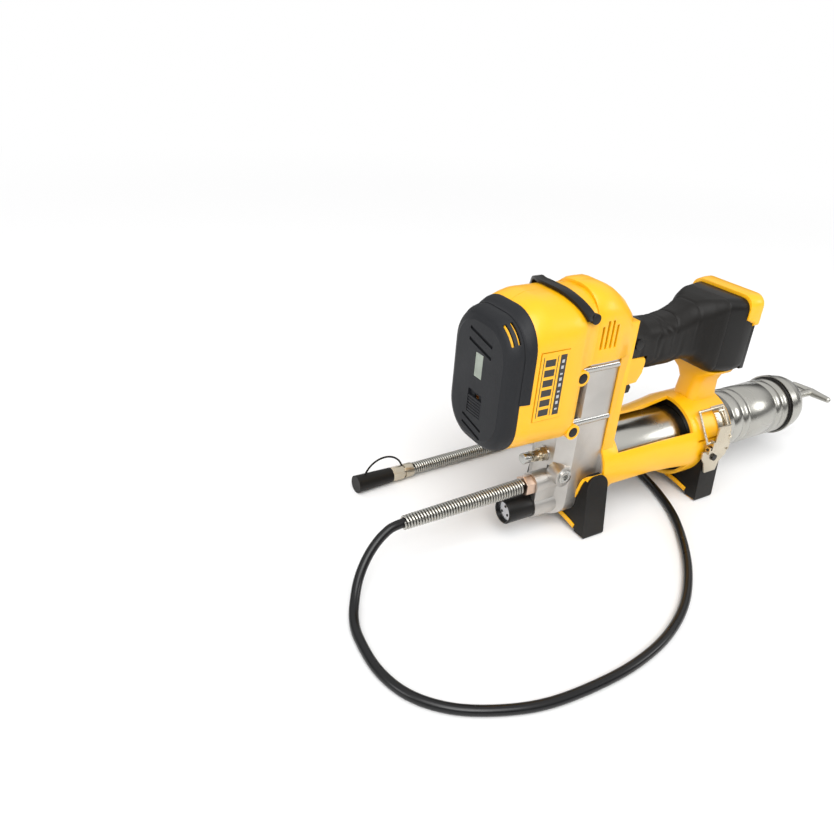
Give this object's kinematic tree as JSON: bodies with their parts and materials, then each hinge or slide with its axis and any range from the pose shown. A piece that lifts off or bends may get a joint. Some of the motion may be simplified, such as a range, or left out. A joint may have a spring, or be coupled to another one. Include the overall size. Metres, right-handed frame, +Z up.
{
  "type": "grease gun",
  "caption": "Cordless grease gun with a barrel in a cage on two feet, an overhead motor, a rear handle without its battery and a long hose with a coupler.",
  "frame": {"origin": "on the floor under the middle of the tool's length, between the feet", "axes": "+X towards the hose end, +Y to the tool's left, +Z up"},
  "size_m": [0.599, 0.3023, 0.2265],
  "materials": {
    "housing_yellow": "satin moulded yellow",
    "charcoal_plastic": "fine textured charcoal",
    "black_plastic": "satin black",
    "grip_rubber": "soft black rubber",
    "cast_aluminium": "satin die casting",
    "zinc_steel": "bright zinc plate",
    "ground_steel": "ground steel",
    "nickel_latch": "pale nickel plate",
    "dark_steel": "black oxide",
    "copper_nut": "copper plate",
    "bronze": "sintered bronze",
    "rotor_copper": "enamelled winding",
    "lamp_silver": "reflector with clear window",
    "gauge_pane": "smoked clear plastic",
    "label_black": "printed label",
    "terminal_plastic": "terminal carrier",
    "lead_red": "cable insulation",
    "hose_black": "glossy black sheath"
  },
  "bodies": {
    "tool": {"motor_housing_left": "housing_yellow", "motor_housing_right": "housing_yellow", "frame_left": "housing_yellow", "frame_right": "housing_yellow", "motor_end_cap": "charcoal_plastic", "cap_window": "gauge_pane", "label_plate": "label_black", "case_screws": "black_plastic", "strap_loop": "black_plastic", "strap_screws": "black_plastic", "pump_head": "cast_aluminium", "gear_cover": "cast_aluminium", "head_plug": "ground_steel", "motor_can": "ground_steel", "motor_bearings": "ground_steel", "gear_bushings": "bronze", "outlet_valve": "ground_steel", "bleeder_body": "nickel_latch", "lamp_body": "black_plastic", "lamp_lens": "lamp_silver", "handle_grip": "grip_rubber", "switch_module": "black_plastic", "power_leads": "lead_red", "battery_base": "black_plastic", "base_rim": "housing_yellow", "battery_rails": "black_plastic", "terminal_block": "terminal_plastic", "barrel_jacket": "housing_yellow", "jacket_liner": "black_plastic", "front_stand": "housing_yellow", "front_foot_pads": "grip_rubber", "rear_stand": "housing_yellow", "rear_foot_pads": "grip_rubber", "latch_bracket": "nickel_latch", "latch_pins": "dark_steel", "hose_nut": "copper_nut", "pump_spring_guard": "zinc_steel", "hose": "hose_black", "far_spring_guard": "zinc_steel", "coupler_body": "nickel_latch", "coupler_jaws": "ground_steel", "coupler_cap": "grip_rubber", "cap_tether": "grip_rubber"},
    "trigger": {"trigger": "black_plastic"},
    "lock_button": {"lock_button": "black_plastic"},
    "speed_slider": {"speed_slider": "charcoal_plastic"},
    "rotor": {"rotor": "rotor_copper", "fan": "black_plastic"},
    "idler_gear": {"idler_gear": "ground_steel"},
    "crank_gear": {"crank_gear": "ground_steel"},
    "plunger": {"plunger": "ground_steel"},
    "bleeder_button": {"bleeder_button": "ground_steel"},
    "barrel": {"barrel_tube": "zinc_steel"},
    "end_cap": {"end_cap": "zinc_steel", "o_ring": "grip_rubber"},
    "follower_rod": {"follower_rod": "zinc_steel", "follower": "black_plastic", "follower_spring": "zinc_steel"},
    "latch_lever": {"latch_lever": "nickel_latch"},
    "latch_bail": {"latch_bail": "nickel_latch"}
  },
  "joints": [
    {"name": "trigger_pull", "type": "slide", "parent": "tool", "child": "trigger", "axis": [0.5, 0, 0.866], "range_m": [0, 0.006], "stiffness_N_per_m": 600, "springref_m": -0.005},
    {"name": "lock_off", "type": "slide", "parent": "tool", "child": "lock_button", "axis": [0, 1, 0], "range_m": [0, 0.003]},
    {"name": "speed_select", "type": "slide", "parent": "tool", "child": "speed_slider", "axis": [0, 0, 1], "range_m": [0, 0.005]},
    {"name": "rotor_spin", "type": "hinge", "parent": "tool", "child": "rotor", "pos_m": [0.1795, 0, 0.176], "axis": [1, 0, 0], "continuous": true},
    {"name": "idler_spin", "type": "hinge", "parent": "tool", "child": "idler_gear", "pos_m": [0.1195, 0, 0.152], "axis": [1, 0, 0], "continuous": true},
    {"name": "crank_spin", "type": "hinge", "parent": "tool", "child": "crank_gear", "pos_m": [0.1265, 0, 0.128], "axis": [1, 0, 0], "continuous": true},
    {"name": "plunger_stroke", "type": "slide", "parent": "tool", "child": "plunger", "axis": [0, 0, 1], "range_m": [-0.006, 0.006]},
    {"name": "bleeder_press", "type": "slide", "parent": "tool", "child": "bleeder_button", "axis": [-1, 0, 0], "range_m": [0, 0.0025], "stiffness_N_per_m": 900, "springref_m": -0.002},
    {"name": "barrel_twist", "type": "hinge", "parent": "tool", "child": "barrel", "pos_m": [-0.0505, 0, 0.057], "axis": [1, 0, 0], "continuous": true},
    {"name": "end_cap_twist", "type": "hinge", "parent": "barrel", "child": "end_cap", "pos_m": [-0.1605, 0, 0.057], "axis": [1, 0, 0], "continuous": true},
    {"name": "rod_pull", "type": "slide", "parent": "end_cap", "child": "follower_rod", "axis": [-1, 0, 0], "range_m": [0, 0.14], "deforming": ["follower_spring"]},
    {"name": "latch_open", "type": "hinge", "parent": "tool", "child": "latch_lever", "pos_m": [-0.0205, 0.0452, 0.0605], "axis": [-1, 0, 0], "range_deg": [0, 75]},
    {"name": "bail_swing", "type": "hinge", "parent": "latch_lever", "child": "latch_bail", "pos_m": [-0.0205, 0.045, 0.0675], "axis": [-1, 0, 0], "range_deg": [0, 70]}
  ],
  "couplings": [
    {"joint": "idler_spin", "follows": "rotor_spin", "ratio": -0.25},
    {"joint": "crank_spin", "follows": "rotor_spin", "ratio": 0.0625}
  ]
}
